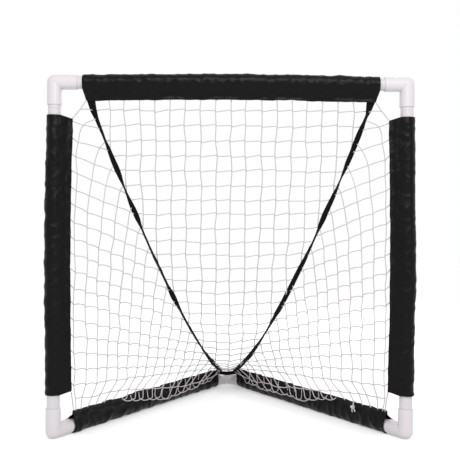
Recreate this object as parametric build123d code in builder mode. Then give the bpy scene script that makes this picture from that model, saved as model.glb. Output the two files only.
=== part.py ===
from build123d import *
from math import asin, atan2, cos, degrees, hypot, pi, sin, tan
import os

# Push-fit practice goal: five plastic tubes, four elbows and a rear bend carry five fabric
# sleeves, and a three-panel net hangs from the sleeves. Millimetres. +X right, +Y to the rear,
# +Z up, origin on the ground at the middle of the footprint.

os.makedirs("parts", exist_ok=True)

# Overall size, over the sockets of the fittings
WIDTH = 914.0
DEPTH = 711.0
HEIGHT = 902.0

# Tubes and the sockets that hold them
TUBE_OD = 32.0
TUBE_WALL = 2.0
SOCKET_OD = 36.5
SOCKET_DEPTH = 35.0
SOCKET_GAP = 0.1
END_GAP = 0.5
ELBOW_LEG = 57.0
BEND_RADIUS = 30.0
MOUTH_CHAMFER = 0.8
MARK_DEPTH = 0.3
MARK_WIDTH = 1.2
TOP_MARK_GAP = 8.0
BOTTOM_MARK_GAP = 28.0
GATE_RADIUS = 2.0
GATE_DEPTH = 0.6
GATE_DISTANCE = 40.0

# Fabric sleeves: a loose tube with a flat flap that ends in a hem
SLEEVE_CLEARANCE = 0.4
SLEEVE_THICKNESS = 1.2
FLAP_THICKNESS = 2.2
HEM_DISTANCE = 46.0
POCKET_DISTANCE = 34.0
CROSSBAR_SLEEVE_GAP = 13.0
UPRIGHT_SLEEVE_TOP_GAP = 25.0
UPRIGHT_SLEEVE_BOTTOM_GAP = 33.0
BASE_SLEEVE_GAP = 1.0
SLEEVE_END_RAKE = 8.0

# Net panels, seam tapes and the strap over the rear bend
NET_THICKNESS = 2.4
NET_GAP = 2.0
BASE_NET_GAP = 4.5
TAPE_WIDTH = 14.0
TAPE_THICKNESS = 1.2
TAPE_TOP_X = 350.0
TAPE_REAR_X = 24.0
TAPE_TAPER = 2.45
NET_PULLS = ((155.0, 103.0), (470.0, 100.0))
NET_REAR = (632.5, 50.0)
STATIONS = 10
SLOPE_STEP = 0.01
BACK_NET_SAG = 12.0
BACK_NET_LEAST_SAG = 1.0
SIDE_NET_FRONT_X = 395.0
SIDE_NET_FRONT_BOW = 58.0
SIDE_NET_BELLY_RATIO = 0.06
STRAP_WIDTH = 22.0
STRAP_THICKNESS = 1.5
STRAP_GAP = 0.5

# The cord that ties the net down to the right base sleeve
TIE_RADIUS = 1.2
TIE_DISTANCE = 170.0
TIE_TOP_HALF_SPAN = 2.2
TIE_FOOT_HALF_SPAN = 10.0
TIE_LEG = 15.0
TIE_TURN = 1.6
TIE_KNOT_RADIUS = 3.0

# Worked out from the sizes above
TUBE_RADIUS = TUBE_OD / 2
BORE_RADIUS = TUBE_RADIUS - TUBE_WALL
SOCKET_RADIUS = SOCKET_OD / 2
FRONT_Y = (SOCKET_OD - DEPTH) / 2
REAR_Y = (DEPTH - SOCKET_OD) / 2
SIDE_X = (WIDTH - SOCKET_OD) / 2
GROUND_Z = SOCKET_RADIUS
TOP_Z = HEIGHT - SOCKET_RADIUS
SHOULDER = ELBOW_LEG - SOCKET_DEPTH
BEND_CENTRE = Vector(0, REAR_Y - BEND_RADIUS, GROUND_Z)
SPAN_TO_BEND = hypot(SIDE_X, BEND_CENTRE.Y - FRONT_Y)
HALF_ANGLE = atan2(SIDE_X, BEND_CENTRE.Y - FRONT_Y) - asin(BEND_RADIUS / SPAN_TO_BEND)
BASE_RUN = (SPAN_TO_BEND**2 - BEND_RADIUS**2) ** 0.5
HEM_Z = GROUND_Z + HEM_DISTANCE
CROSSBAR_HEM_Z = TOP_Z - HEM_DISTANCE
UP = Vector(0, 0, 1)


def keep(part, name):
    """Label a finished piece and write it to its own file."""
    part.label = name
    export_step(part, f"parts/{name}.step")


def base_direction(side):
    """Unit vector from a front corner to the rear bend."""
    return Vector(-side * sin(HALF_ANGLE), cos(HALF_ANGLE), 0)


def bottom_corner(side):
    return Vector(side * SIDE_X, FRONT_Y, GROUND_Z)


def top_corner(side):
    return Vector(side * SIDE_X, FRONT_Y, TOP_Z)


def tube(start, direction, length, mark_gaps):
    """A hollow tube between two sockets, with a push-in mark near each exposed end."""
    with BuildPart() as piece:
        with BuildSketch(Plane(origin=start, z_dir=direction)):
            Circle(TUBE_RADIUS)
            Circle(BORE_RADIUS, mode=Mode.SUBTRACT)
        extrude(amount=length)
        for distance in mark_gaps:
            with BuildSketch(Plane(origin=start + direction * distance, z_dir=direction)):
                Circle(TUBE_RADIUS)
                Circle(TUBE_RADIUS - MARK_DEPTH, mode=Mode.SUBTRACT)
            extrude(amount=MARK_WIDTH, mode=Mode.SUBTRACT)
    return piece.part


def elbow(corner, first, second):
    """A mitred 90 degree elbow with a moulding gate mark on the side of its second leg."""
    with BuildPart() as piece:
        with Locations(corner):
            Sphere(SOCKET_RADIUS)
        for direction in (first, second):
            with BuildSketch(Plane(origin=corner, z_dir=direction)):
                Circle(SOCKET_RADIUS)
            extrude(amount=ELBOW_LEG)
        for direction in (first, second):
            mouth = corner + direction * ELBOW_LEG
            rim = piece.faces().sort_by_distance(mouth)[0]
            chamfer(rim.outer_wire().edges(), length=MOUTH_CHAMFER)
        with Locations(corner):
            Sphere(BORE_RADIUS, mode=Mode.SUBTRACT)
        for direction in (first, second):
            with BuildSketch(Plane(origin=corner, z_dir=direction)):
                Circle(BORE_RADIUS)
            extrude(amount=ELBOW_LEG, mode=Mode.SUBTRACT)
            with BuildSketch(Plane(origin=corner + direction * SHOULDER, z_dir=direction)):
                Circle(TUBE_RADIUS + SOCKET_GAP)
            extrude(amount=SOCKET_DEPTH, mode=Mode.SUBTRACT)
        outward = first.cross(second)
        gate = corner + second * GATE_DISTANCE + outward * SOCKET_RADIUS
        with BuildSketch(Plane(origin=gate, z_dir=outward)):
            Circle(GATE_RADIUS)
        extrude(amount=-GATE_DEPTH, mode=Mode.SUBTRACT)
    return piece.part


def bend_profile(radius):
    """The circle that is swept round the rear bend, at its right-hand tangent point."""
    tangent = bottom_corner(1) + base_direction(1) * BASE_RUN
    with BuildSketch(Plane(origin=tangent, z_dir=base_direction(1))) as profile:
        Circle(radius)
    return profile.sketch


def rear_bend():
    """The bend that joins both base tubes: an arc with a straight socket on each end."""
    sweep_angle = 180 - 2 * degrees(HALF_ANGLE)
    with BuildLine(Plane.XY.offset(GROUND_Z)) as path:
        CenterArc((0, BEND_CENTRE.Y), BEND_RADIUS, degrees(HALF_ANGLE), sweep_angle)
    with BuildPart() as piece:
        sweep(sections=bend_profile(SOCKET_RADIUS), path=path.line)
        sweep(sections=bend_profile(BORE_RADIUS), path=path.line, mode=Mode.SUBTRACT)
        for side in (-1, 1):
            direction = base_direction(side)
            tangent = bottom_corner(side) + direction * BASE_RUN
            with BuildSketch(Plane(origin=tangent, z_dir=-direction)):
                Circle(SOCKET_RADIUS)
                Circle(TUBE_RADIUS + SOCKET_GAP, mode=Mode.SUBTRACT)
            extrude(amount=SOCKET_DEPTH)
            mouth = tangent - direction * SOCKET_DEPTH
            rim = piece.faces().filter_by(GeomType.PLANE).sort_by_distance(mouth)[0]
            chamfer(rim.outer_wire().edges(), length=MOUTH_CHAMFER)
    return piece.part


def sleeve(start, direction, flap, length):
    """A fabric sleeve: teardrop section round the tube, flap and hem on the flap side."""
    section = Plane(origin=start, x_dir=flap, z_dir=direction)
    outer = TUBE_RADIUS + SLEEVE_CLEARANCE + SLEEVE_THICKNESS
    with BuildPart() as piece:
        with BuildSketch(section):
            Circle(outer)
            with Locations((HEM_DISTANCE - FLAP_THICKNESS / 2, 0)):
                Circle(FLAP_THICKNESS / 2)
            make_hull()
        extrude(amount=length)
        with BuildSketch(section):
            Circle(outer - SLEEVE_THICKNESS)
            with Locations((POCKET_DISTANCE, 0)):
                Circle(TIE_RADIUS / 2)
            make_hull()
        extrude(amount=length, mode=Mode.SUBTRACT)
        # Each end is raked, so that the hem is shorter than the tube side
        across = HEM_DISTANCE - TUBE_RADIUS
        for end, sign in ((start, 1), (start + direction * length, -1)):
            slant = (direction * (sign * across) - flap * SLEEVE_END_RAKE).normalized()
            split(bisect_by=Plane(origin=end + flap * TUBE_RADIUS, z_dir=slant), keep=Keep.TOP)
    return piece.part


def tape_point(side, fraction):
    """A point on a seam tape, a cubic curve from the crossbar hem at 0 to the rear bend at 1."""
    top = (NET_GAP + NET_THICKNESS, CROSSBAR_HEM_Z - NET_GAP)
    controls = (top, *NET_PULLS, NET_REAR)
    weights = [
        (1 - fraction) ** 3,
        3 * (1 - fraction) ** 2 * fraction,
        3 * (1 - fraction) * fraction**2,
        fraction**3,
    ]
    depth = sum(weight * control[0] for weight, control in zip(weights, controls))
    height = sum(weight * control[1] for weight, control in zip(weights, controls))
    half_width = TAPE_REAR_X + (TAPE_TOP_X - TAPE_REAR_X) * (1 - fraction) ** TAPE_TAPER
    return Vector(side * half_width, FRONT_Y + depth, height)


def seam_tape(side):
    """A narrow ribbon that binds the back net to a side net."""
    run = tape_point(side, 1) - tape_point(side, 0)
    across = run.cross(UP).normalized()
    with BuildPart() as piece:
        for station in range(STATIONS + 1):
            point = tape_point(side, station / STATIONS)
            with BuildSketch(Plane(origin=point, x_dir=across, z_dir=run)):
                Rectangle(TAPE_THICKNESS, TAPE_WIDTH)
        loft(ruled=True)
    return piece.part


def net_band(plane, start, middle, end):
    """One section of a net panel: a thin band along the arc through three points."""
    with BuildSketch(plane) as band:
        with BuildLine():
            ThreePointArc(*[plane.to_local_coords(point) for point in (start, middle, end)])
        trace(line_width=NET_THICKNESS)
    return band.sketch


def back_net():
    """The rear panel: hangs between the two seam tapes and sags a little, down to the bend."""
    inset = NET_GAP + NET_THICKNESS / 2
    with BuildPart() as piece:
        for station in range(STATIONS + 1):
            fraction = station / STATIONS
            left = tape_point(-1, fraction) + Vector(inset, 0, 0)
            right = tape_point(1, fraction) - Vector(inset, 0, 0)
            above = tape_point(1, max(fraction - SLOPE_STEP, 0))
            below = tape_point(1, min(fraction + SLOPE_STEP, 1))
            slope = Vector(0, below.Y - above.Y, below.Z - above.Z).normalized()
            sag = BACK_NET_LEAST_SAG + BACK_NET_SAG * sin(pi * fraction)
            middle = (left + right) * 0.5 + Vector(0, slope.Z, -slope.Y) * sag
            plane = Plane(origin=middle, x_dir=(1, 0, 0), z_dir=slope)
            add(net_band(plane, left, middle, right))
        loft(ruled=True)
    return piece.part


def side_net(side):
    """A side panel: from the upright and the base sleeve's hem up to the seam tape."""
    inset = NET_GAP + NET_THICKNESS / 2
    with BuildPart() as piece:
        for station in range(STATIONS + 1):
            fraction = station / STATIONS
            top = tape_point(side, fraction) + Vector(side * inset, 0, 0)
            base_x = SIDE_X - (top.Y - FRONT_Y) * tan(HALF_ANGLE)
            bottom_x = min(base_x, SIDE_NET_FRONT_X)
            bottom = Vector(side * bottom_x, top.Y, HEM_Z + BASE_NET_GAP)
            bow = SIDE_NET_FRONT_BOW * (1 - fraction) ** 4
            belly = SIDE_NET_BELLY_RATIO * (top - bottom).length - bow
            middle = (top + bottom) * 0.5 - Vector(side * belly, 0, 0)
            add(net_band(Plane.XZ.offset(-top.Y), bottom, middle, top))
        loft(ruled=True)
    return piece.part


def apex_strap():
    """The strap that crosses the top of the rear bend and joins the two base sleeves."""
    turn = degrees(HALF_ANGLE)
    with BuildPart() as piece:
        with BuildSketch(Plane.XY.offset(GROUND_Z + SOCKET_RADIUS + STRAP_GAP)):
            with BuildLine():
                arc = CenterArc((0, BEND_CENTRE.Y), BEND_RADIUS, turn, 180 - 2 * turn)
                Line(arc @ 0, arc @ 0 - (arc % 0) * SOCKET_DEPTH)
                Line(arc @ 1, arc @ 1 + (arc % 1) * SOCKET_DEPTH)
            trace(line_width=STRAP_WIDTH)
        extrude(amount=STRAP_THICKNESS)
    return piece.part


def net_tie():
    """A short cord over the right base sleeve's hem, with a knot on the goal's inner side."""
    direction = base_direction(1)
    hem = bottom_corner(1) + direction * TIE_DISTANCE + UP * HEM_DISTANCE
    section = Plane(origin=hem, x_dir=direction.cross(UP), z_dir=direction)
    crest = 2 * NET_GAP - TIE_RADIUS - SLEEVE_CLEARANCE
    with BuildPart() as piece:
        with BuildLine(section) as path:
            FilletPolyline(
                (-TIE_FOOT_HALF_SPAN, TIE_LEG),
                (-TIE_TOP_HALF_SPAN, -crest),
                (TIE_TOP_HALF_SPAN, -crest),
                (TIE_FOOT_HALF_SPAN, TIE_LEG),
                radius=TIE_TURN,
            )
        foot = Plane(origin=path.line @ 0, z_dir=path.line % 0)
        with BuildSketch(foot):
            Circle(TIE_RADIUS)
        sweep(path=path.line)
        with Locations(foot):
            Sphere(TIE_KNOT_RADIUS)
    return piece.part


SIDES = {"left": -1, "right": 1}
INWARD = {"left": Vector(1, 0, 0), "right": Vector(-1, 0, 0)}
DOWN = -UP

# The front frame: a crossbar and two uprights, all with push-in marks outside their sockets
SEAT = SHOULDER + END_GAP
MARK_FROM_TOP = SOCKET_DEPTH - END_GAP + TOP_MARK_GAP
MARK_FROM_BOTTOM = SOCKET_DEPTH - END_GAP + BOTTOM_MARK_GAP
CROSSBAR_LENGTH = 2 * (SIDE_X - SEAT)
UPRIGHT_LENGTH = TOP_Z - GROUND_Z - 2 * SEAT
ACROSS = Vector(1, 0, 0)
crossbar_marks = (MARK_FROM_TOP, CROSSBAR_LENGTH - MARK_FROM_TOP - MARK_WIDTH)
upright_marks = (MARK_FROM_BOTTOM, UPRIGHT_LENGTH - MARK_FROM_TOP - MARK_WIDTH)
keep(tube(top_corner(-1) + ACROSS * SEAT, ACROSS, CROSSBAR_LENGTH, crossbar_marks), "crossbar_tube")
for name, side in SIDES.items():
    upright = tube(bottom_corner(side) + UP * SEAT, UP, UPRIGHT_LENGTH, upright_marks)
    keep(upright, f"{name}_upright_tube")

# The base: a tube from each front corner to the rear bend
BASE_LENGTH = BASE_RUN - SEAT - END_GAP
for name, side in SIDES.items():
    start = bottom_corner(side) + base_direction(side) * SEAT
    keep(tube(start, base_direction(side), BASE_LENGTH, ()), f"{name}_base_tube")

# The fittings: one elbow moulding used four times, and the rear bend
for name, side in SIDES.items():
    keep(elbow(top_corner(side), DOWN, INWARD[name]), f"top_{name}_elbow")
    keep(elbow(bottom_corner(side), UP, base_direction(side)), f"bottom_{name}_elbow")
keep(rear_bend(), "rear_bend")

# The sleeves over the tubes
CROSSBAR_SLEEVE_START = ELBOW_LEG + CROSSBAR_SLEEVE_GAP
CROSSBAR_SLEEVE_LENGTH = 2 * (SIDE_X - CROSSBAR_SLEEVE_START)
UPRIGHT_SLEEVE_START = ELBOW_LEG + UPRIGHT_SLEEVE_BOTTOM_GAP
UPRIGHT_SLEEVE_END = ELBOW_LEG + UPRIGHT_SLEEVE_TOP_GAP
UPRIGHT_SLEEVE_LENGTH = TOP_Z - GROUND_Z - UPRIGHT_SLEEVE_START - UPRIGHT_SLEEVE_END
BASE_SLEEVE_START = ELBOW_LEG + BASE_SLEEVE_GAP
BASE_SLEEVE_LENGTH = BASE_RUN - SOCKET_DEPTH - BASE_SLEEVE_GAP - BASE_SLEEVE_START
crossbar_sleeve_start = top_corner(-1) + ACROSS * CROSSBAR_SLEEVE_START
keep(sleeve(crossbar_sleeve_start, ACROSS, DOWN, CROSSBAR_SLEEVE_LENGTH), "crossbar_sleeve")
for name, side in SIDES.items():
    start = bottom_corner(side) + UP * UPRIGHT_SLEEVE_START
    keep(sleeve(start, UP, INWARD[name], UPRIGHT_SLEEVE_LENGTH), f"{name}_upright_sleeve")
    start = bottom_corner(side) + base_direction(side) * BASE_SLEEVE_START
    keep(sleeve(start, base_direction(side), UP, BASE_SLEEVE_LENGTH), f"{name}_base_sleeve")

# The net: three panels, two seam tapes, the strap over the bend and the tie
keep(back_net(), "back_net_panel")
for name, side in SIDES.items():
    keep(side_net(side), f"{name}_net_panel")
    keep(seam_tape(side), f"{name}_seam_tape")
keep(apex_strap(), "apex_strap")
keep(net_tie(), "net_tie")
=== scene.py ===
from bisect import bisect_left
from math import acos, asin, atan2, cos, exp, hypot, pi, radians, sin, sqrt

import bmesh
import bpy
from bpy.props import FloatProperty, FloatVectorProperty, PointerProperty
from mathutils import Matrix, Vector, noise


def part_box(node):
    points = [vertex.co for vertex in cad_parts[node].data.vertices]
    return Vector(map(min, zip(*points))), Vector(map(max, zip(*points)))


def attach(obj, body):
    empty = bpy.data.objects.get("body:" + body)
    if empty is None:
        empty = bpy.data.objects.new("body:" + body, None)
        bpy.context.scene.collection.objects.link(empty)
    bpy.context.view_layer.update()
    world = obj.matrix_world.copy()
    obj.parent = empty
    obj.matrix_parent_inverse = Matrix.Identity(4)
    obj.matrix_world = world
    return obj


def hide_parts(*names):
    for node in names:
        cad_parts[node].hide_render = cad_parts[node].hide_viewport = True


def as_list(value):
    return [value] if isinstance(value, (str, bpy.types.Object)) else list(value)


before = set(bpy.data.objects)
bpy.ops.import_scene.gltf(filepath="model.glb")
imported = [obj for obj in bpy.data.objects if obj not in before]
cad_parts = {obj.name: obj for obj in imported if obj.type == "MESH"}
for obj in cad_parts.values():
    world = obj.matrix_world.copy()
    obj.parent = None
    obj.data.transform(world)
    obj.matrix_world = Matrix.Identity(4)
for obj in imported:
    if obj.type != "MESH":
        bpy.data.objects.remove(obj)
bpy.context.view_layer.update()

bl_info = {
    "name": "Push-fit practice goal",
    "version": (1, 0, 0),
    "blender": (4, 5, 0),
    "location": "3D View > Sidebar > Goal",
    "description": "Plastic, sleeves, tapes and netting of a push-fit practice goal",
    "category": "Object",
}

# ---- The goal's own lines, worked out from its frame (metres, +Y to the rear, +Z up) ----

X = Vector((1, 0, 0))
Y = Vector((0, 1, 0))
UP = Vector((0, 0, 1))
SIDES = {"left": -1, "right": 1}
MM = 0.001


def middle(node):
    low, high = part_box(node)
    return (low + high) / 2


def extent(node):
    low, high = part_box(node)
    return high - low


TUBE_RADIUS = extent("crossbar_tube").z / 2
SOCKET_RADIUS = extent("rear_bend").z / 2
SIDE_X = middle("right_upright_tube").x
FRONT_Y = middle("crossbar_tube").y
TOP_Z = middle("crossbar_tube").z
GROUND_Z = middle("right_base_tube").z
REAR_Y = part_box("rear_bend")[1].y - SOCKET_RADIUS
BEND_RADIUS = 30 * MM
SOCKET_DEPTH = 35 * MM
ELBOW_LEG = 57 * MM
SLEEVE_GAP = 1 * MM
BEND_Y = REAR_Y - BEND_RADIUS
SPAN_TO_BEND = hypot(SIDE_X, BEND_Y - FRONT_Y)
HALF_ANGLE = atan2(SIDE_X, BEND_Y - FRONT_Y) - asin(BEND_RADIUS / SPAN_TO_BEND)
BASE_RUN = sqrt(SPAN_TO_BEND**2 - BEND_RADIUS**2)
HEM_DISTANCE = TOP_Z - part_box("crossbar_sleeve")[0].z
CROSSBAR_HEM_Z = TOP_Z - HEM_DISTANCE
CROSSBAR_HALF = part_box("crossbar_sleeve")[1].x
UPRIGHT_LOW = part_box("left_upright_sleeve")[0].z
UPRIGHT_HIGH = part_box("left_upright_sleeve")[1].z
BASE_SLEEVE_START = ELBOW_LEG + SLEEVE_GAP
BASE_SLEEVE_END = BASE_RUN - SOCKET_DEPTH - SLEEVE_GAP
SEWN_DISTANCE = HEM_DISTANCE - 2 * MM


def base_direction(side):
    """Along a base tube, from its front corner to the rear bend."""
    return Vector((-side * sin(HALF_ANGLE), cos(HALF_ANGLE), 0))


def bottom_corner(side):
    return Vector((side * SIDE_X, FRONT_Y, GROUND_Z))


def wobble(*place):
    """Smooth noise between -1 and 1, the same at every run."""
    return noise.noise(Vector(place))


def ease(value):
    """0 below 0, 1 above 1 and smooth between."""
    value = min(max(value, 0.0), 1.0)
    return value * value * (3 - 2 * value)


def between(stations, at):
    """A value read smoothly from listed (place, value) stations."""
    for (here, value), (there, following) in zip(stations, stations[1:]):
        if at <= there:
            return value + (following - value) * ease((at - here) / (there - here))
    return stations[-1][1]


# ---- Seam tapes and net panels: where the netting hangs ----

MESH = 38.1 * MM
TAPE_TOP_X = 0.350
TAPE_REAR_X = 0.024
TAPE_TAPER = 2.45
# Control points of the hanging curve, as (behind the mouth, height).
NET_CURVE = ((0.0044, CROSSBAR_HEM_Z - 0.002), (0.155, 0.103), (0.470, 0.100), (0.6325, 0.050))
BACK_SAG = 12 * MM
# A cord's end stops this far behind a tape and this far under its edge.
TAPE_BACK = 2.2 * MM
TAPE_COVER = 4 * MM
# A column's last cord is left out when it would be shorter than this.
LEAST_CORD = 12 * MM
# The net draws the middle of each hem this far towards the tube's middle line.
HEM_RISE = 4.5 * MM
FLAP_LEAN = radians(22)
HEM_X = SIDE_X - SEWN_DISTANCE

SIDE_ROWS = 17
SIDE_COLUMNS = 18
FIRST_ROW_Z = UPRIGHT_HIGH - 14 * MM
TAUT_PITCH = 40.7 * MM
TAPE_PITCH = 59.8 * MM
FIRST_ROW_ON_TAPE = 70 * MM
FIRST_COLUMN_ON_TAPE = 42 * MM
FIRST_COLUMN_ON_BASE = 62 * MM
BASE_PITCH = 1.01 * MESH
DRAWN_COLUMNS = 1.4
SELVEDGE_GAP = 12 * MM
SELVEDGE_CURVE = 14 * MM
SELVEDGE_DROP = 9 * MM
ROW_END_GAP = 20 * MM

# The slack foot of a side panel: how far it hangs, and over which columns it grows and shrinks.
SLACK = 36 * MM
SLACK_GROWS = (3.5, 9)
SLACK_SHRINKS = (14, 4)
SLACK_LEFT = 0.65
SLACK_UPPER_ROW = 0.72
SLACK_STANDOFF = 10 * MM
LEAST_SLACK = 6 * MM


def net_curve(fraction):
    """A point above the goal's middle line on the curve that the net and its tapes hang in."""
    rest = 1 - fraction
    weights = (rest**3, 3 * rest**2 * fraction, 3 * rest * fraction**2, fraction**3)
    depth = sum(weight * point[0] for weight, point in zip(weights, NET_CURVE))
    height = sum(weight * point[1] for weight, point in zip(weights, NET_CURVE))
    return Vector((0, FRONT_Y + depth, height))


def half_width(fraction):
    return TAPE_REAR_X + (TAPE_TOP_X - TAPE_REAR_X) * (1 - fraction) ** TAPE_TAPER


def tape_point(side, fraction):
    """A point on a seam tape, from the crossbar's hem at 0 to the rear bend at 1."""
    return net_curve(fraction) + X * side * half_width(fraction)


def measured(curve, steps=200):
    """The length of a curve, and a reader of its parameter at a distance along it."""
    points = [curve(step / steps) for step in range(steps + 1)]
    lengths = [0.0]
    for here, there in zip(points, points[1:]):
        lengths.append(lengths[-1] + (there - here).length)

    def parameter(distance):
        step = min(max(bisect_left(lengths, distance), 1), steps)
        part = (distance - lengths[step - 1]) / (lengths[step] - lengths[step - 1])
        return (step - 1 + min(max(part, 0.0), 1.0)) / steps

    return lengths[-1], parameter


BACK_LENGTH, back_parameter = measured(net_curve)
TAPE_LENGTH, tape_parameter = measured(lambda fraction: tape_point(1, fraction))


def along_tape(side, distance):
    return tape_point(side, tape_parameter(distance))


def back_point(across, fraction):
    """Where a point of the back panel hangs: between the tapes and a little below them."""
    step = 0.005
    slope = net_curve(min(fraction + step, 1)) - net_curve(max(fraction - step, 0))
    slope.normalize()
    place = min(abs(across) / half_width(fraction), 1)
    sag = BACK_SAG * sin(pi * fraction) * (1 - place**2)
    return net_curve(fraction) + X * across + Vector((0, slope.z, -slope.y)) * sag


def tuck(previous, end, side, distance):
    """The end of a cord, drawn back so that it stops under the edge of the tape."""
    step = 4 * MM
    ahead = along_tape(side, distance + step)
    tangent = (ahead - along_tape(side, distance - step)).normalized()
    back = previous - end
    apart = (back - tangent * back.dot(tangent)).length
    return end + back * min(TAPE_COVER / max(apart, TAPE_COVER), 1) + Y * TAPE_BACK


def inward(side):
    """Level, away from a base tube and into the goal."""
    return base_direction(side).cross(UP) * -side


def base_flap(side):
    """The way the flap of a base sleeve leans: up and a little into the goal."""
    return UP * cos(FLAP_LEAN) + inward(side) * sin(FLAP_LEAN)


def base_hem(side, column):
    """Where a column of a side panel is sewn to the base sleeve; the first are drawn together."""
    drawn = DRAWN_COLUMNS * (1 - exp(-column / 2))
    distance = FIRST_COLUMN_ON_BASE + BASE_PITCH * (column - drawn)
    foot = bottom_corner(side) + base_direction(side) * distance
    return foot + base_flap(side) * SEWN_DISTANCE


def row_hem(side, row):
    """Where a row of a side panel is sewn to the upright sleeve."""
    height = FIRST_ROW_Z - TAUT_PITCH * row
    part = (height - UPRIGHT_LOW) / (UPRIGHT_HIGH - UPRIGHT_LOW)
    across = HEM_X + HEM_RISE * sin(pi * part)
    return Vector((side * across, FRONT_Y + 3 * MM, height))


def droop(column):
    """How far the slack foot of a column hangs below the base sleeve's hem."""
    grown, shrunk = [ease((column - first) / over) for first, over in (SLACK_GROWS, SLACK_SHRINKS)]
    return SLACK * grown * (1 - (1 - SLACK_LEFT) * shrunk)


def side_point(side, column, row):
    """Where a knot of a side panel hangs."""
    if row < SIDE_ROWS:
        hem = row_hem(side, row)
        end = along_tape(side, FIRST_ROW_ON_TAPE + TAPE_PITCH * row)
        way = (end - hem) * Vector((1, 1, 0))
        start = hem + way.normalized() * (SELVEDGE_GAP + SELVEDGE_CURVE * exp(-row))
        start -= UP * SELVEDGE_DROP
        return start.lerp(end, column / (row + 0.5))
    base = base_hem(side, column)
    if column < SIDE_ROWS:
        above = side_point(side, column, SIDE_ROWS - 1)
    else:
        above = along_tape(side, TAPE_LENGTH - ROW_END_GAP)
    if row == SIDE_ROWS:
        return above.lerp(base, 0.5) - UP * droop(column) * SLACK_UPPER_ROW
    return base + inward(side) * SLACK_STANDOFF - UP * droop(column)


# ---- Shader nodes as expressions ----


class Value:
    """A node's output that Python's own operators combine by adding Math nodes."""

    def __init__(self, finish, socket):
        self.finish = finish
        self.socket = socket

    def maths(self, operation, first, second):
        node = self.finish.node(
            "ShaderNodeMath", {"operation": operation}, {0: first, 1: second}
        )
        return Value(self.finish, node.outputs[0])

    def __add__(self, other):
        return self.maths("ADD", self, other)

    def __sub__(self, other):
        return self.maths("SUBTRACT", self, other)

    def __rsub__(self, other):
        return self.maths("SUBTRACT", other, self)

    def __mul__(self, other):
        return self.maths("MULTIPLY", self, other)

    __radd__ = __add__
    __rmul__ = __mul__


class Finish:
    """A procedural material built up from nodes."""

    def __init__(self, name):
        self.material = bpy.data.materials.new(name)
        self.material.use_nodes = True
        self.tree = self.material.node_tree
        self.tree.nodes.clear()

    def node(self, kind, settings, sockets):
        """Adds a node, sets it up and then feeds its sockets with numbers or links."""
        made = self.tree.nodes.new(kind)
        for name, setting in settings.items():
            if name == "stops":
                for stop, (place, level) in zip(made.color_ramp.elements, setting):
                    stop.position = place
                    stop.color = (level, level, level, 1)
            else:
                setattr(made, name, setting)
        for name, fed in sockets.items():
            if isinstance(fed, Value):
                self.tree.links.new(fed.socket, made.inputs[name])
            else:
                made.inputs[name].default_value = fed
        return made

    def place(self, layer=None):
        """Object coordinates, or the piece's own UV map."""
        kind = "ShaderNodeUVMap" if layer else "ShaderNodeTexCoord"
        made = self.node(kind, {"uv_map": layer} if layer else {}, {})
        return Value(self, made.outputs["UV" if layer else "Object"])

    def grain(self, place, scale, detail=2.0, roughness=0.5):
        made = self.node(
            "ShaderNodeTexNoise",
            {},
            {"Vector": place, "Scale": scale, "Detail": detail, "Roughness": roughness},
        )
        return Value(self, made.outputs["Fac"])

    def rows(self, place, direction, scale, distortion=0.0):
        """Even ridges, as between the threads of a weave."""
        made = self.node(
            "ShaderNodeTexWave",
            {"wave_type": "BANDS", "bands_direction": direction, "wave_profile": "SIN"},
            {"Vector": place, "Scale": scale, "Distortion": distortion, "Detail": 0.0},
        )
        return Value(self, made.outputs["Fac"])

    def step(self, value, low, high):
        """The value spread so that low becomes 0 and high becomes 1."""
        made = self.node("ShaderNodeValToRGB", {"stops": ((low, 0.0), (high, 1.0))}, {"Fac": value})
        return Value(self, made.outputs["Color"])

    def colours(self, mask, first, second):
        made = self.node(
            "ShaderNodeMix",
            {"data_type": "RGBA"},
            {"Factor": mask, "A": (*first, 1), "B": (*second, 1)},
        )
        return Value(self, made.outputs["Result"])

    def bump(self, height, distance, strength, below=None):
        sockets = {"Height": height, "Distance": distance, "Strength": strength}
        if below is not None:
            sockets["Normal"] = below
        made = self.node("ShaderNodeBump", {}, sockets)
        return Value(self, made.outputs["Normal"])

    def surface(self, sockets):
        shader = self.node("ShaderNodeBsdfPrincipled", {}, sockets)
        self.node(
            "ShaderNodeOutputMaterial", {}, {"Surface": Value(self, shader.outputs["BSDF"])}
        )
        return self.material


# ---- Making pieces ----


def shaded(colour, factor):
    return tuple(min(channel * factor, 1.0) for channel in colour)


def finish_piece(name, mesh, material, slot_name, *nodes):
    """Puts a finished mesh in the scene as a piece that rides on the goal's one body."""
    piece = bpy.data.objects.new(name, mesh)
    bpy.context.scene.collection.objects.link(piece)
    mesh.materials.clear()
    mesh.materials.append(material)
    mesh.polygons.foreach_set("use_smooth", [True] * len(mesh.polygons))
    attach(piece, "root")
    if nodes:
        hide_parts(*nodes)
    return piece


def cords_mesh(name, lines, radius, roundness=1, steps=4):
    """One mesh of round cords. A line is a list of points, or two (point, handle) pairs."""
    curve = bpy.data.curves.new(name, "CURVE")
    curve.dimensions = "3D"
    curve.bevel_depth = radius
    curve.bevel_resolution = roundness
    curve.resolution_u = steps
    curve.use_fill_caps = True
    for line in lines:
        spline = curve.splines.new("BEZIER")
        spline.bezier_points.add(len(line) - 1)
        for knot, point in zip(spline.bezier_points, line):
            if isinstance(point, tuple):
                knot.co, knot.handle_left, knot.handle_right = point
                knot.handle_left_type = knot.handle_right_type = "FREE"
            else:
                knot.co = point
                knot.handle_left_type = knot.handle_right_type = "AUTO"
    holder = bpy.data.objects.new(name, curve)
    bpy.context.scene.collection.objects.link(holder)
    bpy.context.view_layer.update()
    graph = bpy.context.evaluated_depsgraph_get()
    mesh = bpy.data.meshes.new_from_object(holder.evaluated_get(graph))
    bpy.data.objects.remove(holder)
    bpy.data.curves.remove(curve)
    mesh.name = name
    return mesh


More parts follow.
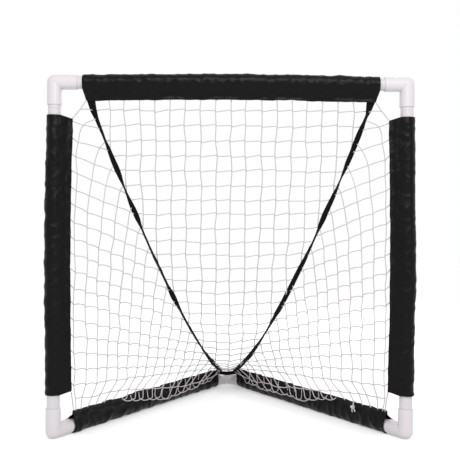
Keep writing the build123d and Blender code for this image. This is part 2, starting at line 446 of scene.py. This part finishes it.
def add_knots(mesh, places, radius):
    """Small knots where two cords cross, each drawn out along its column."""
    stretch = Matrix.Diagonal((1, 1, 1.35, 1))
    shape = bmesh.new()
    shape.from_mesh(mesh)
    for point, direction in places:
        turn = direction.to_track_quat("Z", "Y").to_matrix().to_4x4()
        matrix = Matrix.Translation(point) @ turn @ stretch
        bmesh.ops.create_icosphere(shape, subdivisions=1, radius=radius, matrix=matrix)
    shape.to_mesh(mesh)
    shape.free()


def cloth_mesh(name, across, along, width, length, place):
    """A flat strip of cloth, cut as a grid with a UV map in metres, then laid in its place."""
    shape = bmesh.new()
    layer = shape.loops.layers.uv.new("UVMap")
    bmesh.ops.create_grid(shape, x_segments=across, y_segments=along, size=0.5)
    for face in shape.faces:
        for loop in face.loops:
            cut = loop.vert.co
            loop[layer].uv = ((cut.x + 0.5) * width, (cut.y + 0.5) * length)
    for vertex in shape.verts:
        vertex.co = place(vertex.co.x + 0.5, vertex.co.y + 0.5)
    bmesh.ops.recalc_face_normals(shape, faces=shape.faces[:])
    mesh = bpy.data.meshes.new(name)
    shape.to_mesh(mesh)
    shape.free()
    return mesh


def thicken(piece, thickness, rounding=1):
    """Gives a cloth piece its thickness, half to each side, and smooths it."""
    wall = piece.modifiers.new("cloth thickness", "SOLIDIFY")
    wall.thickness = thickness
    wall.offset = 0
    smooth = piece.modifiers.new("cloth smoothing", "SUBSURF")
    smooth.levels = smooth.render_levels = rounding


# ---- Sleeves ----

CLOTH_CELL = 4.2 * MM
CLOTH_CELLS_ROUND = 44
STITCH_ROWS = (5.5 * MM, 8.0 * MM)
STITCH_RADIUS = 0.24 * MM
# Along one stitch and above the cloth: it dives in, shows and dives in again.
STITCH = ((0.0, -0.1 * MM), (0.38, 0.45 * MM), (0.76, -0.1 * MM))


class Sleeve:
    """One fabric sleeve: its tube line, its flap's direction and the cloth round them."""

    radius = TUBE_RADIUS + 1.3 * MM
    pocket = 36 * MM
    seam = HEM_DISTANCE - pocket
    lean = acos(radius / pocket)
    slope = sqrt(pocket**2 - radius**2)
    width = 2 * (seam + slope + radius * (pi - lean))
    layer_gap = 0.7 * MM
    end_reach = 50 * MM
    bulge = 4.6 * MM
    floor_gap = 0.6 * MM

    def __init__(self, name, start, direction, flap, length, looseness, bow, seed, rake=8 * MM):
        self.name = name
        self.start = start
        self.direction = direction
        self.flap = flap
        self.side = direction.cross(flap)
        self.length = length
        self.looseness = looseness
        self.bow = bow
        self.seed = seed
        self.rake = rake

    def outline(self, distance):
        """A point of the cross-section, as (towards the hem, sideways), and its outward."""
        mirror = 1 if distance <= self.width / 2 else -1
        distance = min(distance, self.width - distance)
        if distance < self.seam:
            return Vector((HEM_DISTANCE - distance, mirror * self.layer_gap)), Vector((0, mirror))
        if distance < self.seam + self.slope:
            part = (distance - self.seam) / self.slope
            outward = Vector((cos(self.lean), sin(self.lean)))
            point = Vector((self.pocket, self.layer_gap)).lerp(outward * self.radius, part)
            return Vector((point.x, mirror * point.y)), Vector((outward.x, mirror * outward.y))
        angle = self.lean + (distance - self.seam - self.slope) / self.radius
        outward = Vector((cos(angle), mirror * sin(angle)))
        return outward * self.radius, outward

    def puff(self, run, distance):
        """How far the cloth stands off the tube: soft folds, sharp creases and bunched ends."""
        ends = exp(-run / self.end_reach) + exp(-(self.length - run) / self.end_reach)
        fold = wobble(run / 0.034 + distance / 0.06, distance / 0.05, self.seed)
        crease = wobble(run / 0.030 - distance / 0.09, distance / 0.045, self.seed + 9)
        bunch = wobble(run / 0.011, distance / 0.09, self.seed + 14)
        stands = max(fold + 0.15, 0) * 2.8 * MM
        stands += max(1 - abs(crease) * 2.2, 0) ** 3 * 2.1 * MM
        stands += max(bunch, 0) * (0.5 + 2.2 * ends) * MM
        return stands * self.looseness

    def wave(self, run, height, flapped):
        """How far both layers of the flap swing sideways, and the dents in them."""
        swing = wobble(run / 0.055, 3.1, self.seed + 4) * 2.6 * MM
        swing += wobble(run / 0.021, 7, self.seed) * 1.2 * MM
        dent = wobble(run / 0.040, height / 0.012, self.seed + 30) * 1.3 * MM
        crest = wobble(run / 0.045 + height / 0.035, height / 0.03, self.seed + 50)
        dent += max(1 - abs(crest) * 2.8, 0) ** 2 * 2.8 * MM * flapped
        return (swing * flapped + dent * ease(flapped * 2)) * self.looseness

    def scallop(self, run):
        """How far the hem strays from a straight line."""
        stray = wobble(run / 0.05, 1.7, self.seed + 20) * 1.6 * MM
        stray += wobble(run / 0.017, 5, self.seed) * 0.8 * MM
        return stray * self.looseness - 0.4 * MM

    def point(self, distance, along, lift=0.0):
        """A point of the hung cloth, at a distance round it and a fraction along it."""
        section, outward = self.outline(distance)
        flap_start = self.radius * 0.4
        flapped = ease((section.x - flap_start) / (HEM_DISTANCE - flap_start))
        cut = self.rake * max(section.x - self.radius, 0) / (HEM_DISTANCE - self.radius)
        run = cut + (self.length - 2 * cut) * along
        drawn = sin(pi * along) * self.bow
        towards = section.x + (self.scallop(run) - drawn * HEM_RISE) * flapped
        sideways = section.y + self.wave(run, section.x, flapped)
        spread = (self.puff(run, distance) + 0.3 * MM) * (1 - flapped)
        spread += max(-outward.x, 0) * drawn * self.bulge + lift
        point = (
            self.start
            + self.direction * run
            + self.flap * (towards + outward.x * spread)
            + self.side * (sideways + outward.y * spread)
        )
        point.z = max(point.z, self.floor_gap)
        return point


def goal_sleeves():
    """The five sleeves, each with its CAD node's name."""
    start = Vector((-CROSSBAR_HALF, FRONT_Y, TOP_Z))
    sleeves = [Sleeve("crossbar", start, X, -UP, 2 * CROSSBAR_HALF, 1.0, 1, 3)]
    for index, (name, side) in enumerate(SIDES.items()):
        start = Vector((side * SIDE_X, FRONT_Y, UPRIGHT_LOW))
        length = UPRIGHT_HIGH - UPRIGHT_LOW
        seed = 31 + 17 * index
        sleeves.append(Sleeve(f"{name}_upright", start, UP, X * -side, length, 0.9, 1, seed))
        direction = base_direction(side)
        start = bottom_corner(side) + direction * BASE_SLEEVE_START
        length = BASE_SLEEVE_END - BASE_SLEEVE_START
        seed = 71 + 13 * index
        flap = base_flap(side)
        sleeves.append(
            Sleeve(f"{name}_base", start, direction, flap, length, 1.35, 0, seed, -8 * MM)
        )
    return sleeves


def fabric_finish(name, colour):
    """Coated woven polyester: fine weave, crumpled sheen and a trace of dust."""
    finish = Finish(name)
    cut = finish.place("UVMap")
    place = finish.place()
    warp = finish.rows(cut, "X", 420.0)
    weft = finish.rows(cut, "Y", 420.0)
    weave = warp * weft
    crumple = finish.grain(place, 55.0, 4.0, 0.6)
    patches = finish.grain(place, 9.0, 3.0, 0.55)
    dust = finish.step(finish.grain(place, 26.0, 6.0, 0.7), 0.5, 0.8)
    shade = finish.colours(
        dust * 0.5 + patches * 0.4, shaded(colour, 0.6), shaded(colour, 2.1)
    )
    folds = finish.bump(crumple, 0.0026, 0.8)
    threads = finish.bump(weave, 0.00015, 0.5, folds)
    return finish.surface(
        {
            "Base Color": shade,
            "Roughness": 0.22 + patches * 0.20 - weave * 0.04,
            "Normal": threads,
            "Specular IOR Level": 0.13,
        }
    )


def tape_finish(name, colour):
    """Woven binding tape with ribs across it."""
    finish = Finish(name)
    cut = finish.place("UVMap")
    ribs = finish.rows(cut, "Y", 300.0)
    edge = finish.rows(cut, "X", 500.0)
    wear = finish.grain(finish.place(), 40.0, 4.0, 0.6)
    shade = finish.colours(wear, shaded(colour, 0.6), shaded(colour, 1.8))
    return finish.surface(
        {
            "Base Color": shade,
            "Roughness": 0.62 + wear * 0.25,
            "Normal": finish.bump(ribs * 0.8 + edge * 0.2, 0.0003, 0.7),
            "Specular IOR Level": 0.08,
        }
    )


def cord_finish(name, colour):
    """White netting cord: twisted strands with a little fuzz and grime."""
    finish = Finish(name)
    place = finish.place()
    strands = finish.rows(place, "DIAGONAL", 260.0, 1.5)
    fuzz = finish.grain(place, 900.0, 3.0, 0.7)
    grime = finish.grain(place, 14.0, 4.0, 0.6)
    shade = finish.colours(grime, shaded(colour, 0.86), shaded(colour, 1.1))
    return finish.surface(
        {
            "Base Color": shade,
            "Roughness": 0.62 + fuzz * 0.25,
            "Normal": finish.bump(strands * 0.7 + fuzz * 0.3, 0.0005, 0.6),
            "Specular IOR Level": 0.3,
        }
    )


def plastic_finish(name, colour, gloss, texture):
    """White plastic: faint shade drift, fine texture and handling marks in its gloss."""
    finish = Finish(name)
    place = finish.place()
    drift = finish.grain(place, 5.0, 3.0, 0.5)
    marks = finish.step(finish.grain(place, 38.0, 7.0, 0.72), 0.52, 0.72)
    skin = finish.grain(place, texture, 2.0, 0.5)
    shade = finish.colours(drift * 0.7 + marks * 0.3, shaded(colour, 1.05), shaded(colour, 0.93))
    return finish.surface(
        {
            "Base Color": shade,
            "Roughness": gloss + marks * 0.14 + skin * 0.04,
            "Normal": finish.bump(skin, 0.0002, 0.16),
            "Specular IOR Level": 0.5,
        }
    )


class GoalPlastic(bpy.types.PropertyGroup):
    """The plastic of the tubes and fittings."""

    colour: FloatVectorProperty(
        name="Colour",
        description="Colour of the plastic",
        subtype="COLOR",
        default=(0.50, 0.476, 0.492),
    )
    tube_roughness: FloatProperty(
        name="Tube roughness",
        description="How dull the drawn tubes are",
        default=0.28,
        subtype="FACTOR",
    )
    fitting_roughness: FloatProperty(
        name="Fitting roughness",
        description="How dull the moulded fittings are",
        default=0.34,
        subtype="FACTOR",
    )


class GoalSleeves(bpy.types.PropertyGroup):
    """The cloth of the sleeves."""

    colour: FloatVectorProperty(
        name="Colour",
        description="Colour of the sleeve cloth",
        subtype="COLOR",
        default=(0.0016, 0.0012, 0.0015),
    )
    thickness: FloatProperty(
        name="Cloth thickness",
        description="Thickness of one layer of the sleeve cloth",
        default=0.0006,
        unit="LENGTH",
    )
    stitch: FloatProperty(
        name="Stitch pitch",
        description="Distance from one stitch to the next",
        default=0.0036,
        unit="LENGTH",
    )


class GoalTapes(bpy.types.PropertyGroup):
    """The binding tapes and the strap at the rear bend."""

    colour: FloatVectorProperty(
        name="Colour",
        description="Colour of the binding tape",
        subtype="COLOR",
        default=(0.003, 0.0027, 0.003),
    )
    width: FloatProperty(
        name="Tape width",
        description="Width of the folded tape",
        default=0.0145,
        unit="LENGTH",
    )
    thickness: FloatProperty(
        name="Tape thickness",
        description="Thickness of the folded tape",
        default=0.0026,
        unit="LENGTH",
    )


class GoalNet(bpy.types.PropertyGroup):
    """The netting."""

    colour: FloatVectorProperty(
        name="Colour",
        description="Colour of the netting cord",
        subtype="COLOR",
        default=(0.47, 0.44, 0.455),
    )
    radius: FloatProperty(
        name="Cord radius",
        description="Radius of the netting cord",
        default=0.0013,
        unit="LENGTH",
    )
    unevenness: FloatProperty(
        name="Unevenness",
        description="How far a knot strays from its even place",
        default=0.0058,
        unit="LENGTH",
    )


class GoalStage(bpy.types.PropertyGroup):
    """The floor, the light and the camera."""

    distance: FloatProperty(
        name="Camera distance",
        description="From the camera to the goal's mouth",
        default=1.874,
        unit="LENGTH",
    )
    height: FloatProperty(
        name="Camera height",
        description="Height of the camera above the floor",
        default=0.518,
        unit="LENGTH",
    )
    sky: FloatProperty(
        name="Sky light",
        description="Strength of the even light from all round",
        default=1.0,
    )


class GOAL_OT_plastic(bpy.types.Operator):
    """Give the tubes and fittings their plastic"""

    bl_idname = "goal.plastic"
    bl_label = "Plastic"

    def execute(self, context):
        plastic = context.scene.goal_plastic
        tube = plastic_finish("drawn_tube_plastic", plastic.colour, plastic.tube_roughness, 420.0)
        fitting = plastic_finish(
            "moulded_fitting_plastic", shaded(plastic.colour, 1.04), plastic.fitting_roughness, 700.0
        )
        for name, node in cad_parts.items():
            if name.endswith("_tube"):
                node.material_slots[0].material = tube
            elif name.endswith(("_elbow", "_bend")):
                node.material_slots[0].material = fitting
        return {"FINISHED"}


class GOAL_OT_sleeves(bpy.types.Operator):
    """Sew the five sleeves round their tubes"""

    bl_idname = "goal.sleeves"
    bl_label = "Sleeves"

    def execute(self, context):
        cloth = context.scene.goal_sleeves
        fabric = fabric_finish("coated_sleeve_cloth", cloth.colour)
        thread = tape_finish("sleeve_thread", shaded(cloth.colour, 2.6))
        for sleeve in goal_sleeves():
            mesh = cloth_mesh(
                f"{sleeve.name}_cloth",
                CLOTH_CELLS_ROUND,
                round(sleeve.length / CLOTH_CELL),
                sleeve.width,
                sleeve.length,
                lambda across, along, s=sleeve: s.point(across * s.width, along),
            )
            node = f"{sleeve.name}_sleeve"
            piece = finish_piece(f"{sleeve.name}_sleeve_cloth", mesh, fabric, "black_fabric", node)
            thicken(piece, cloth.thickness)
            stitches = finish_piece(
                f"{sleeve.name}_sleeve_stitches",
                self.stitches(sleeve, cloth),
                thread,
                "black_fabric",
            )
        return {"FINISHED"}

    def stitches(self, sleeve, cloth):
        """Two rows of stitches through the flap, seen on both of its faces."""
        count = int(sleeve.length / cloth.stitch) - 4
        lines = [
            [sleeve.point(around, (number + part) / (count + 2), lift) for part, lift in STITCH]
            for row in STITCH_ROWS
            for around in (row, sleeve.width - row)
            for number in range(2, count)
        ]
        return cords_mesh(f"{sleeve.name}_stitches", lines, STITCH_RADIUS, roundness=0, steps=1)


# ---- Tapes and strap ----

# Listed twists of each tape: (fraction of its length, degrees), face on at 0.
TAPE_TURNS = {
    -1: (
        (0, 5), (0.05, 50), (0.085, 66), (0.13, 30), (0.155, 12), (0.205, 72), (0.27, 20),
        (0.31, 74), (0.41, 60), (0.46, 66), (0.495, 15), (0.56, 66), (0.62, 58), (0.70, 66),
        (0.75, 50), (0.80, 10), (0.92, -5), (1, 30),
    ),
    1: (
        (0, -5), (0.03, -60), (0.08, -20), (0.125, -22), (0.18, -74), (0.26, 0), (0.325, -70),
        (0.44, -22), (0.515, -18), (0.63, -70), (0.755, -20), (0.81, -12), (0.93, 5), (1, -30),
    ),
}
TAPE_SPREAD = 0.6
TAPE_OPENING = 22 * MM
TAPE_TUCK = 10.2 * MM
TAPE_TUCK_RUN = 20 * MM
TAPE_CELL = 4 * MM
STRAP_LENGTH = 0.125
# The strap's line over the bend: (across, behind the bend's centre, above the bend's crown).
STRAP_LINE = (
    (-0.058, -0.020, 0.016),
    (-0.026, -0.004, 0.007),
    (0.0, 0.004, 0.003),
    (0.026, -0.004, 0.008),
    (0.058, -0.020, 0.018),
)


def strap_point(at):
    """A point of the strap's line, at a fraction along it."""
    place = at * (len(STRAP_LINE) - 1)
    first = min(int(place), len(STRAP_LINE) - 2)
    here, there = [Vector(point) for point in STRAP_LINE[first : first + 2]]
    crown = Vector((0, BEND_Y, GROUND_Z + SOCKET_RADIUS))
    return crown + here.lerp(there, place - first)


class Ribbon:
    """A strip of tape along a line, turned about it as it goes."""

    def __init__(self, name, node, rests_on, line, turn, length, spread, seed):
        self.name = name
        self.node = node
        self.rests_on = rests_on
        self.line = line
        self.turn = turn
        self.length = length
        self.spread = spread
        self.seed = seed

    def point(self, across, along, width):
        """A point of the tape, at fractions across and along it; spread out and tucked in on top."""
        here = self.line(along)
        step = 0.004
        ahead, behind = self.line(min(along + step, 1)), self.line(max(along - step, 0))
        tangent = (ahead - behind).normalized()
        wide = tangent.cross(Y).normalized()
        wide.rotate(Matrix.Rotation(self.turn(along), 3, tangent))
        deep = tangent.cross(wide)
        run = along * self.length
        pull = 1 + 0.16 * wobble(run / 0.05, 2.2, self.seed)
        pull += self.spread * exp(-run / TAPE_OPENING)
        offset = (across - 0.5) * width * pull
        crumple = wobble(run / 0.018, across * 2, self.seed) * 0.9 * MM
        cup = (2 * across - 1) ** 2 * 1.3 * MM
        sway = wobble(run / 0.09, 6.0, self.seed) * 1.8 * MM
        tucked = self.spread / TAPE_SPREAD * TAPE_TUCK * max(1 - run / TAPE_TUCK_RUN, 0)
        return here + UP * tucked + wide * (offset + sway) + deep * (crumple + cup)


def goal_ribbons():
    """The two seam tapes and the strap."""
    ribbons = [
        Ribbon(
            f"{name}_binding_tape",
            f"{name}_seam_tape",
            ["crossbar_sleeve", "rear_bend"],
            lambda at, side=side: along_tape(side, at * TAPE_LENGTH),
            lambda at, side=side: radians(between(TAPE_TURNS[side], at)),
            TAPE_LENGTH,
            TAPE_SPREAD,
            40 + side,
        )
        for name, side in SIDES.items()
    ]
    ribbons.append(
        Ribbon(
            "rear_strap",
            "apex_strap",
            ["rear_bend"],
            strap_point,
            lambda at: radians(62 - 40 * sin(pi * at)),
            STRAP_LENGTH,
            0,
            57,
        )
    )
    return ribbons


class GOAL_OT_tapes(bpy.types.Operator):
    """Lay the two twisted seam tapes and the strap over the rear bend"""

    bl_idname = "goal.tapes"
    bl_label = "Tapes and strap"

    def execute(self, context):
        tapes = context.scene.goal_tapes
        woven = tape_finish("binding_tape", tapes.colour)
        for ribbon in goal_ribbons():
            mesh = cloth_mesh(
                ribbon.name,
                6,
                max(round(ribbon.length / TAPE_CELL), 24),
                tapes.width,
                ribbon.length,
                lambda across, along, r=ribbon: r.point(across, along, tapes.width),
            )
            piece = finish_piece(ribbon.name, mesh, woven, "black_tape", ribbon.node)
            thicken(piece, tapes.thickness)
            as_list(ribbon.rests_on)
        return {"FINISHED"}


# ---- Netting ----

KNOT_SIZE = 1.55
CORNER_ON_TAPE = 22 * MM
HEM_COVER = 3 * MM
SAW_TOOTH = 2 * MM


class GOAL_OT_nets(bpy.types.Operator):
    """Knot the three net panels"""

    bl_idname = "goal.nets"
    bl_label = "Net panels"

    def execute(self, context):
        net = context.scene.goal_net
        cord = cord_finish("netting_cord", net.colour)
        self.hang("back_netting", self.back_panel(net), net, cord, "back_net_panel")
        for name, side in SIDES.items():
            self.hang(f"{name}_netting", self.side_panel(side, net), net, cord, f"{name}_net_panel")
        return {"FINISHED"}

    def hang(self, name, panel, net, cord, node):
        lines, knots = panel
        mesh = cords_mesh(name, lines, net.radius)
        add_knots(mesh, knots, net.radius * KNOT_SIZE)
        finish_piece(name, mesh, cord, "white_cord", node)

    def stray(self, net, *place):
        """How far a knot sits from its even place."""
        seeds = (11.3, 47.9, 83.1)
        return Vector([wobble(*place, seed) for seed in seeds]) * net.unevenness

    def crossing(self, left, right, drop, arch, level):
        """A cord between two knots: its ends sit apart on their columns and it arches."""
        raised = (left.z - right.z) / 2 * level
        start = left - UP * (raised + drop)
        end = right + UP * (raised + drop)
        third = (end - start) / 3
        lift = UP * arch
        return [(start, start - third, start + third + lift), (end, end - third + lift, end + third)]

    def back_panel(self, net):
        lines, knots = [], []
        columns = int(TAPE_TOP_X / MESH)
        drops = [MESH * (row + 0.5) for row in range(int(BACK_LENGTH / MESH))]
        places = [back_parameter(drop) for drop in drops]

        def knot(column, row):
            jitter = self.stray(net, column * 0.71, row * 0.63)
            return back_point(column * MESH, places[row]) + jitter

        for column in range(-columns, columns + 1):
            across = abs(column) * MESH
            rise = HEM_RISE * cos(pi * column * MESH / (2 * CROSSBAR_HALF))
            points = [back_point(column * MESH, 0) + UP * (HEM_COVER + rise)]
            for row, place in enumerate(places):
                if across < half_width(place) - TAPE_COVER:
                    points.append(knot(column, row))
            taper = max((across - TAPE_REAR_X) / (TAPE_TOP_X - TAPE_REAR_X), 0)
            foot = back_point(column * MESH, 1 - taper ** (1 / TAPE_TAPER))
            if (foot - points[-1]).length > LEAST_CORD:
                points.append(points[-1].lerp(foot, 0.8) + Y * TAPE_BACK)
            lines.append(points)
            for here, there in zip(points[1:], points[2:]):
                knots.append((here, (there - here).normalized()))
        for row, place in enumerate(places):
            reach = int((half_width(place) - TAPE_COVER) / MESH)
            inner = [knot(column, row) for column in range(-reach, reach + 1)]
            ends = []
            for side, last in ((-1, inner[0]), (1, inner[-1])):
                edge = tape_point(side, place)
                ends.append(edge + (last - edge).normalized() * TAPE_COVER + Y * TAPE_BACK)
            cells = [ends[0], *inner, ends[1]]
            for number, (left, right) in enumerate(zip(cells, cells[1:])):
                arch = (0.4 + 2.0 * wobble(number * 0.9, row * 0.8, 5.0)) * MM
                short = min((right - left).length / MESH, 1)
                lines.append(self.crossing(left, right, SAW_TOOTH * short, arch * short, 0.0))
        return lines, knots

    def side_panel(self, side, net):
        lines, knots = [], []

        def knot(column, row):
            jitter = self.stray(net, column * 0.77 + 50 * side, row * 0.69)
            if row >= SIDE_ROWS:
                jitter *= 1 + 0.9 * droop(column) / SLACK
            return side_point(side, column, row) + jitter

        for column in range(SIDE_COLUMNS):
            start = FIRST_COLUMN_ON_TAPE + TAPE_PITCH * column
            last = SIDE_ROWS + (2 if droop(column) > LEAST_SLACK else 1)
            inner = [knot(column, row) for row in range(column, last)]
            top = tuck(inner[0], along_tape(side, start), side, start)
            foot = base_hem(side, column) + inward(side) * 2 * MM
            lines.append([top, *inner, foot])
            for here, there in zip(inner, [*inner[1:], foot]):
                knots.append((here, (there - here).normalized()))
        for row in range(SIDE_ROWS):
            distance = FIRST_ROW_ON_TAPE + TAPE_PITCH * row
            inner = [knot(column, row) for column in range(row + 1)]
            end = tuck(inner[-1], along_tape(side, distance), side, distance)
            level = 0.55 * ease((row - 3) / 7)
            arch = (1.4 + 2.4 * ease(row / 10)) * MM
            lines += self.row_cords(side, [*inner, end], row, level, arch)
            lines.append([row_hem(side, row), inner[0]])
        upper = [knot(column, SIDE_ROWS) for column in range(SIDE_COLUMNS)]
        upper.append(along_tape(side, TAPE_LENGTH - 6 * MM))
        lines += self.row_cords(side, upper, SIDE_ROWS, 0.4, -3 * MM)
        loose = [column for column in range(SIDE_COLUMNS) if droop(column) > LEAST_SLACK]
        lower = [knot(column, SIDE_ROWS + 1) for column in loose]
        lines += self.row_cords(side, lower, SIDE_ROWS + 1, 0.4, -5 * MM)
        lines += self.edge_cords(side)
        return lines, knots

    def row_cords(self, side, points, row, level, arch):
        """The cords of one row of a side panel, arched up or hanging down between its knots."""
        lines = []
        for number, (here, there) in enumerate(zip(points, points[1:])):
            left, right = (here, there) if side < 0 else (there, here)
            short = min((right - left).length / MESH, 1)
            rise = arch + wobble(number * 0.9, row * 0.8, 9.0 * side) * 1.6 * MM
            lines.append(self.crossing(left, right, 0.0, rise * short, level))
        return lines

    def edge_cords(self, side):
        """The cords that close the panel's corners between the sleeves' hems."""
        crossbar_end = Vector((side * (CROSSBAR_HALF - 9 * MM), FRONT_Y, CROSSBAR_HEM_Z + 2 * MM))
        upright_top = Vector((side * HEM_X, FRONT_Y, UPRIGHT_HIGH - 8 * MM))
        upright_foot = Vector((side * HEM_X, FRONT_Y, UPRIGHT_LOW + 8 * MM))
        base_front = bottom_corner(side) + base_direction(side) * (BASE_SLEEVE_START - 3 * MM)
        base_front += base_flap(side) * SEWN_DISTANCE
        dip = (upright_foot + base_front) / 2 + Vector((side * MM, 4 * MM, 4 * MM))
        corner = (crossbar_end + upright_top) / 2
        tape = along_tape(side, CORNER_ON_TAPE) + Y * TAPE_BACK - X * side * TAPE_COVER / 2
        return [
            [crossbar_end, corner - UP * 2 * MM, upright_top],
            [corner, corner.lerp(tape, 0.5) + UP * 2 * MM, tape],
            [upright_foot, dip, base_front],
        ]


# The tie's loop over the hem: (into the goal, up), ending at its knot.
TIE_LOOP = ((-0.009, -0.015), (-0.004, -0.004), (0.0, 0.002), (0.003, -0.004), (0.005, -0.013))
# Its two free ends, from the knot: (along the base, up).
TIE_ENDS = (((0.003, -0.006), (0.002, -0.014)), ((-0.005, -0.005), (-0.009, -0.011)))
TIE_TURNS = 14
TIE_THICKNESS = 1.15


class GOAL_OT_tie(bpy.types.Operator):
    """Knot the short tie over the right base sleeve's hem"""

    bl_idname = "goal.tie"
    bl_label = "Tie"

    def execute(self, context):
        net = context.scene.goal_net
        direction = base_direction(1)
        within = inward(1)
        corner = bottom_corner(1)
        run = (middle("net_tie") - corner).dot(direction)
        hem = corner + direction * run + base_flap(1) * HEM_DISTANCE
        loop = [hem + within * into + UP * up for into, up in TIE_LOOP]
        knot = loop[-1]
        coil = [
            knot
            + within * 2.8 * MM * cos(turn)
            + UP * 3.6 * MM * sin(turn)
            + direction * (turn * 0.7 - 4.5) * MM
            for turn in [step * pi / 3 for step in range(TIE_TURNS)]
        ]
        ends = [
            [knot, *(knot + direction * along + UP * up for along, up in end)] for end in TIE_ENDS
        ]
        radius = net.radius * TIE_THICKNESS
        mesh = cords_mesh("tie_cord", [loop, coil, *ends], radius, roundness=2)
        cord = cord_finish("tie_cord", shaded(net.colour, 1.15))
        finish_piece("net_tie_cord", mesh, cord, "white_cord", "net_tie")
        return {"FINISHED"}


# ---- Stage ----

FLOOR_HALF = 14
# Each soft lamp: name, place, what it is turned to, size and power.
LAMPS = (
    ("key", (0.25, -2.5, 2.0), (0, 0, 0.4), 0.6, 38),
    ("back", (1.4, 2.4, 1.8), (0, 0, 0.3), 1.0, 18),
)
SENSOR_WIDTH = 36
# How wide a strip the camera sees at the goal's mouth.
VIEW_WIDTH = 1.14513
CAMERA_X = -0.0256
CAMERA_YAW = radians(0.726)
CAMERA_PITCH = radians(0.026)
CAMERA_ROLL = radians(0.261)


class GOAL_OT_stage(bpy.types.Operator):
    """Set the floor, the soft light and the camera"""

    bl_idname = "goal.stage"
    bl_label = "Stage"

    def execute(self, context):
        stage = context.scene.goal_stage
        shape = bmesh.new()
        bmesh.ops.create_grid(shape, x_segments=1, y_segments=1, size=FLOOR_HALF)
        mesh = bpy.data.meshes.new("studio_floor")
        shape.to_mesh(mesh)
        shape.free()
        floor = bpy.data.objects.new("studio_floor", mesh)
        context.scene.collection.objects.link(floor)
        paper = Finish("studio_paper")
        mesh.materials.append(
            paper.surface(
                {
                    "Base Color": (0.72, 0.715, 0.72, 1),
                    "Roughness": 0.9,
                    "Specular IOR Level": 0.1,
                    "Emission Color": (1, 1, 1, 1),
                    "Emission Strength": 0.27,
                }
            )
        )
        world = bpy.data.worlds.new("studio_light")
        context.scene.world = world
        world.use_nodes = True
        sky = world.node_tree.nodes["Background"]
        sky.inputs["Color"].default_value = (1, 1, 1, 1)
        sky.inputs["Strength"].default_value = stage.sky
        for lamp in LAMPS:
            self.lamp(*lamp)
        self.camera(context, stage)
        context.scene.view_settings.view_transform = "Standard"
        return {"FINISHED"}

    def lamp(self, name, place, target, size, power):
        light = bpy.data.lights.new(name, "AREA")
        light.shape = "DISK"
        light.size = size
        light.energy = power
        lamp = bpy.data.objects.new(name, light)
        lamp.location = place
        lamp.rotation_mode = "QUATERNION"
        lamp.rotation_quaternion = (Vector(target) - Vector(place)).to_track_quat("-Z", "Y")
        bpy.context.scene.collection.objects.link(lamp)

    def camera(self, context, stage):
        yaw, pitch, roll = CAMERA_YAW, CAMERA_PITCH, CAMERA_ROLL
        data = bpy.data.cameras.new("studio_camera")
        data.sensor_width = SENSOR_WIDTH
        data.lens = SENSOR_WIDTH * stage.distance / VIEW_WIDTH
        camera = bpy.data.objects.new("studio_camera", data)
        ahead = Vector((sin(yaw) * cos(pitch), cos(yaw) * cos(pitch), sin(pitch)))
        right = Vector((cos(yaw), -sin(yaw), 0))
        above = right.cross(ahead)
        tilted_right = right * cos(roll) + above * sin(roll)
        tilted_above = above * cos(roll) - right * sin(roll)
        turn = Matrix((tilted_right, tilted_above, -ahead)).transposed().to_4x4()
        place = Vector((CAMERA_X, FRONT_Y - stage.distance, stage.height))
        camera.matrix_world = Matrix.Translation(place) @ turn
        context.scene.collection.objects.link(camera)
        context.scene.camera = camera


class GOAL_PT_panel(bpy.types.Panel):
    """The goal's pieces and sizes"""

    bl_idname = "GOAL_PT_panel"
    bl_label = "Practice goal"
    bl_space_type = "VIEW_3D"
    bl_region_type = "UI"
    bl_category = "Goal"

    def draw(self, context):
        for group, operators in PARTS.items():
            settings = getattr(context.scene, group)
            for name in settings.__annotations__:
                self.layout.prop(settings, name)
            for operator in operators:
                self.layout.operator(operator)


GROUPS = {
    "goal_plastic": GoalPlastic,
    "goal_sleeves": GoalSleeves,
    "goal_tapes": GoalTapes,
    "goal_net": GoalNet,
    "goal_stage": GoalStage,
}
PARTS = {
    "goal_stage": ["goal.stage"],
    "goal_plastic": ["goal.plastic"],
    "goal_sleeves": ["goal.sleeves"],
    "goal_tapes": ["goal.tapes"],
    "goal_net": ["goal.nets", "goal.tie"],
}
CLASSES = [
    *GROUPS.values(),
    GOAL_OT_stage,
    GOAL_OT_plastic,
    GOAL_OT_sleeves,
    GOAL_OT_tapes,
    GOAL_OT_nets,
    GOAL_OT_tie,
    GOAL_PT_panel,
]


def register():
    for item in CLASSES:
        bpy.utils.register_class(item)
    for name, group in GROUPS.items():
        setattr(bpy.types.Scene, name, PointerProperty(type=group))


def unregister():
    for name in GROUPS:
        delattr(bpy.types.Scene, name)
    for item in reversed(CLASSES):
        bpy.utils.unregister_class(item)


def main():
    register()
    bpy.ops.goal.stage()
    bpy.ops.goal.plastic()
    bpy.ops.goal.sleeves()
    bpy.ops.goal.tapes()
    bpy.ops.goal.nets()
    bpy.ops.goal.tie()


if __name__ == "__main__":
    main()
